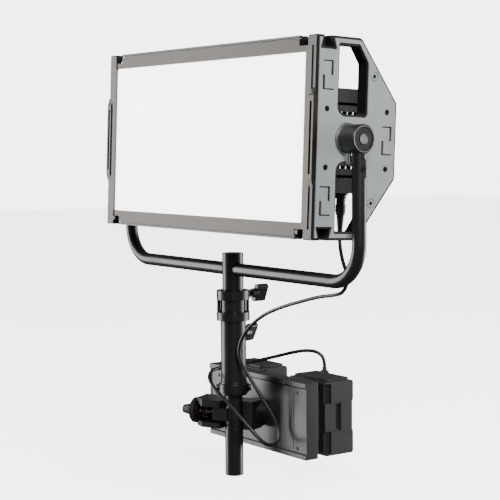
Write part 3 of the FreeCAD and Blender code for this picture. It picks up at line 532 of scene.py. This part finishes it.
hubCapLook = {
    "face": (0.045, 0.045, 0.047), "bright": (0.34, 0.34, 0.34), "mark": 0.0078, "rim": 0.0186,
    "dark": 0.8, "light": 1.25, "grooves": 9000.0, "grooveTone": 0.12, "clouds": 80,
    "rough": 0.40, "spread": 0.16, "polish": 0.12, "depth": 0.00002,
}


def hubCapFinish():
    look = hubCapLook
    finish = Finish("turnedCap", Metallic=1.0)
    _, y, z = finish.axes()
    rise = z - tiltHeight
    radius = (y * y + rise * rise) ** 0.5
    grooves = (radius * look["grooves"]).alone("SINE")
    clouds = finish.noise(look["clouds"], detail=4)
    bright = finish.clamp((radius < look["mark"]) + (radius > look["rim"]))
    tone = clouds * 0.5 + grooves * look["grooveTone"] + 0.3
    face, turned = (
        finish.mix(tone, rgba(look[key], look["dark"]), rgba(look[key], look["light"]))
        for key in ("face", "bright")
    )
    finish.shade(
        Base_Color=finish.mix(bright, face, turned),
        Roughness=finish.clamp(look["rough"] + look["spread"] * clouds - look["polish"] * bright),
        Normal=finish.bump(grooves + clouds * 0.5, look["depth"]),
    )
    return finish.material


barLook = {
    "metal": (0.056, 0.051, 0.046), "black": (0.010, 0.010, 0.011), "rim": 0.0065,
    "streak": (0.03, 1, 1), "light": 1.25, "rough": 0.33, "spread": 0.16, "depth": 0.00002,
}


def barFinish():
    look = barLook
    finish = Finish("barMetal")
    z = finish.axes()[2]
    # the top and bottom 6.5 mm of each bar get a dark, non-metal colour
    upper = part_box("front_bar_top")[1].z - look["rim"]
    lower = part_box("front_bar_bottom")[0].z + look["rim"]
    rim = finish.clamp((z > upper) + (z < lower))
    streaks, tone = brushedTone(finish, look["streak"])
    dark, light = (rgba(look["metal"], factor) for factor in (brushing["dark"], look["light"]))
    finish.shade(
        Base_Color=finish.mix(rim, finish.mix(tone, dark, light), rgba(look["black"])),
        Metallic=1 - rim,
        Roughness=finish.clamp(look["rough"] + tone * look["spread"]),
        Normal=finish.bump(streaks, look["depth"]),
    )
    return finish.material


screwLook = {
    "turn": 24.0, "spindleEnd": 0.0790, "ringEnd": 0.0832, "pitch": 0.002,
    "copper": (0.62, 0.34, 0.20), "steel": (0.72, 0.72, 0.70), "grease": (0.25, 0.17, 0.12),
    "greaseShare": 0.6, "plastic": (0.014, 0.014, 0.014), "palePlastic": (0.028, 0.028, 0.028),
    "grain": 1200, "grainRelief": 0.15, "rough": 0.50, "polish": 0.24, "spread": 0.1,
    "depth": 0.0003,
}


def clampScrewFinish():
    look = screwLook
    finish = Finish("clampScrew")
    x, y, _ = finish.axes()
    turn = math.radians(look["turn"])
    along = (x * -math.cos(turn)) - y * math.sin(turn)
    onSpindle = along < look["spindleEnd"]
    onRing = (1.0 - onSpindle) * (along < look["ringEnd"])
    bare = onSpindle + onRing
    thread = (along * (2 * math.pi / look["pitch"])).alone("SINE")
    grain = finish.noise(look["grain"], detail=2)
    metal = finish.mix(onRing, rgba(look["copper"]), rgba(look["steel"]))
    metal = finish.mix(grain * look["greaseShare"], metal, rgba(look["grease"]))
    plastic = finish.mix(grain, rgba(look["plastic"]), rgba(look["palePlastic"]))
    rough = look["rough"] - look["polish"] * bare + look["spread"] * grain
    finish.shade(
        Base_Color=finish.mix(bare, plastic, metal),
        Metallic=bare,
        Roughness=finish.clamp(rough),
        Normal=finish.bump(grain * look["grainRelief"] + onSpindle * thread, look["depth"]),
    )
    return finish.material


shaftLook = {
    "dark": (0.38, 0.38, 0.39), "light": (0.62, 0.62, 0.61), "rings": 900,
    "streak": (1, 0.02, 0.02), "clouds": 60, "rough": 0.18, "spread": 0.16, "depth": 0.00003,
}


def shaftFinish():
    look = shaftLook
    finish = Finish("groundShaft", Metallic=1.0)
    rings = finish.noise(look["rings"], detail=3, vector=finish.mapped(scale=look["streak"]))
    clouds = finish.noise(look["clouds"], detail=3)
    finish.shade(
        Base_Color=finish.mix(rings, rgba(look["dark"]), rgba(look["light"])),
        Roughness=look["rough"] + look["spread"] * clouds,
        Normal=finish.bump(rings, look["depth"]),
    )
    return finish.material


looks = {name: coatFinish(name) for name in coats}
looks.update({name: metalFinish(name) for name in metals})
looks["litDiffuser"] = diffuserFinish()
looks["circuitBoard"] = boardFinish()
looks["litChips"] = chipFinish()
looks["cellWrap"] = cellFinish()
looks["screenGlass"] = screenFinish()
looks["turnedCap"] = hubCapFinish()
looks["barMetal"] = barFinish()
looks["clampScrew"] = clampScrewFinish()
looks["groundShaft"] = shaftFinish()
print("finishes made:", len(looks))

nodeLooks = {
    "blackCoat": "yoke_tube yoke_hubs",
    "standCoat": "yoke_post receiver_sleeve receiver_collar joint_ring riser_tube",
    "frameCoat": "side_frame_right side_frame_left",
    "housingCoat": "control_housing back_cover",
    "clampCoat": "clamp_frame clamp_boss clamp_jaw",
    "boxCoat": "battery_box_case battery_box_front",
    "skinPaint": "side_skins",
    "barMetal": "front_bar_top front_bar_bottom",
    "frameMetal": "front_rails",
    "knobPlastic": "tee_knob_upper tee_knob_lower dimmer_knob colour_knob",
    "panelPlastic": "control_panel menu_button power_switch v_plates power_inlet "
                    "cable_plug_head cable_plug_battery",
    "batteryPlastic": "battery_left battery_right",
    "sealRubber": "diffuser_gasket",
    "whiteTray": "light_box",
    "brightSteel": "hub_pins",
    "blackScrew": "joint_ring_screws battery_box_screws side_screws leg_screws "
                  "plunger_right plunger_left",
    "machinedAluminium": "heat_sink tilt_lever",
    "greyFlange": "tilt_flanges",
    "groundShaft": "tilt_shafts",
    "turnedCap": "hub_cap",
    "clampScrew": "clamp_handle",
    "litDiffuser": "diffuser",
    "circuitBoard": "led_boards driver_board power_board",
    "litChips": "led_chips",
    "cellWrap": "battery_cells_left battery_cells_right",
    "screenGlass": "display",
}

# edge rounding in millimetres, for the castings, plates and mouldings that show
edgeWidths = {
    0.3: "front_bar_top front_bar_bottom front_rails side_skins joint_ring_screws "
         "battery_box_screws hub_cap",
    0.5: "side_frame_right side_frame_left receiver_sleeve receiver_collar joint_ring "
         "riser_tube tilt_flanges",
    0.6: "yoke_post yoke_hubs clamp_jaw control_panel v_plates cable_plug_battery "
         "cable_plug_head power_inlet",
    0.8: "clamp_frame clamp_boss battery_box_case battery_box_front control_housing "
         "back_cover tilt_lever",
    1.0: "battery_left battery_right tee_knob_upper tee_knob_lower dimmer_knob "
         "colour_knob menu_button",
}
# turned and tubular pieces, whose facets stay as they are
roundNodes = (
    "receiver_sleeve receiver_collar joint_ring riser_tube tilt_flanges yoke_post "
    "yoke_hubs hub_cap"
).split()
edging = {"merge": 0.00001, "flat": 0.3, "segments": 2, "corner": 38, "smooth": 40, "weight": 90}


def softEdged(node, width, body, flat):
    bpy.ops.object.select_all(action="DESELECT")
    words = node.split("_")
    name = words[0] + "".join(word.title() for word in words[1:])
    piece = bpy.data.objects.new(name, nodes[node].data.copy())
    bpy.context.scene.collection.objects.link(piece)
    piece.select_set(True)
    bpy.context.view_layer.objects.active = piece
    bpy.ops.mesh.customdata_custom_splitnormals_clear()
    bpy.ops.object.mode_set(mode="EDIT")
    bpy.ops.mesh.select_all(action="SELECT")
    bpy.ops.mesh.remove_doubles(threshold=edging["merge"])
    if flat:
        bpy.ops.mesh.dissolve_limited(angle_limit=math.radians(edging["flat"]))
    bpy.ops.object.mode_set(mode="OBJECT")
    bevel = piece.modifiers.new("edge", "BEVEL")
    bevel.width = width / 1000
    bevel.segments = edging["segments"]
    bevel.limit_method = "ANGLE"
    bevel.angle_limit = math.radians(edging["corner"])
    bpy.ops.object.modifier_apply(modifier="edge")
    bpy.ops.object.shade_smooth_by_angle(angle=math.radians(edging["smooth"]))
    even = piece.modifiers.new("even", "WEIGHTED_NORMAL")    # keeps the flats flat
    even.keep_sharp = True
    even.weight = edging["weight"]
    bpy.ops.object.modifier_apply(modifier="even")
    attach(piece, body)
    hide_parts(node)
    return piece


bodies = frame["record"]["behaviour"]["bodies"]
bodyOf = {member: body for body, members in bodies.items() for member in members}
shown = dict(nodes)
for width, names in edgeWidths.items():
    for name in names.split():
        flat = name not in roundNodes
        shown[name] = softEdged(name, width, bodyOf[name], flat)
print("edges rounded")


def paint(piece, look):
    piece.data.materials.clear()
    piece.data.materials.append(looks[look])


for look, names in nodeLooks.items():
    for name in names.split():
        paint(shown[name], look)
for lead in (headLead, mainLead, batteryLead):
    paint(lead, "cableRubber")
print("nodes painted")


studio = {
    "floorHalf": 9.0, "floorDrop": 0.0005, "floorColour": (0.90, 0.90, 0.90),
    "floorTones": (0.985, 1.01), "floorGrain": 12, "floorRough": 0.7, "floorGlow": 3.8,
    "sky": (0.95, 0.97, 1.0), "skyLight": 0.14, "backdrop": 5.0,
}


def makeStudio():
    bpy.ops.object.select_all(action="DESELECT")
    drop = (0, 0, -studio["floorDrop"])
    bpy.ops.mesh.primitive_plane_add(size=2 * studio["floorHalf"], location=drop)
    floor = bpy.context.object
    floor.name = "studioFloor"
    finish = Finish("paleFloor", Roughness=studio["floorRough"], Emission_Color=white,
                    Emission_Strength=studio["floorGlow"])
    grain = finish.noise(studio["floorGrain"], detail=4)
    dark, light = (rgba(studio["floorColour"], tone) for tone in studio["floorTones"])
    finish.shade(Base_Color=finish.mix(grain, dark, light))
    floor.data.materials.append(finish.material)
    floor.visible_diffuse = False    # its glow doesn't light the lamp from below
    floor.visible_glossy = False
    floor.visible_shadow = False    # the softboxes reach below it
    world = bpy.data.worlds.new("studioSky")
    world.use_nodes = True
    sky = world.node_tree.nodes["Background"]
    backdrop = world.node_tree.nodes.new("ShaderNodeBackground")
    seen = world.node_tree.nodes.new("ShaderNodeLightPath")
    choice = world.node_tree.nodes.new("ShaderNodeMixShader")
    sky.inputs["Color"].default_value = rgba(studio["sky"])
    sky.inputs["Strength"].default_value = studio["skyLight"]
    backdrop.inputs["Color"].default_value = white
    backdrop.inputs["Strength"].default_value = studio["backdrop"]
    surface = world.node_tree.nodes["World Output"].inputs["Surface"]
    for source, socket in (
        (seen.outputs["Is Camera Ray"], choice.inputs["Fac"]),
        (sky.outputs[0], choice.inputs[1]),
        (backdrop.outputs[0], choice.inputs[2]),
        (choice.outputs[0], surface),
    ):
        world.node_tree.links.new(source, socket)
    bpy.context.scene.world = world


softboxes = {
    "leftSoftbox": {
        "place": (-2.2, -1.7, 0.40), "target": (0, 0, 0.40), "size": (1.4, 2.2), "power": 92,
    },
    "rightSoftbox": {
        "place": (0.85, 2.6, 0.40), "target": (0, 0, 0.40), "size": (1.5, 2.2), "power": 95,
    },
    "keySoftbox": {
        "place": (2.5, -0.9, 1.9), "target": (0.2, 0, 0.45), "size": (1.0, 1.2), "power": 120,
    },
    "topSoftbox": {
        "place": (0.3, 0.2, 2.4), "target": (0, 0, 0.4), "size": (1.2, 1.2), "power": 22,
    },
}


def areaLight(name, place, target, size, power):
    data = bpy.data.lights.new(name, "AREA")
    data.shape = "RECTANGLE"
    data.size, data.size_y = size
    data.energy = power
    lamp = bpy.data.objects.new(name, data)
    bpy.context.scene.collection.objects.link(lamp)
    lamp.location = place
    towards = Vector(target) - Vector(place)
    lamp.rotation_euler = towards.to_track_quat("-Z", "Y").to_euler()


makeStudio()
for name, softbox in softboxes.items():
    areaLight(name, **softbox)
print("studio lit")
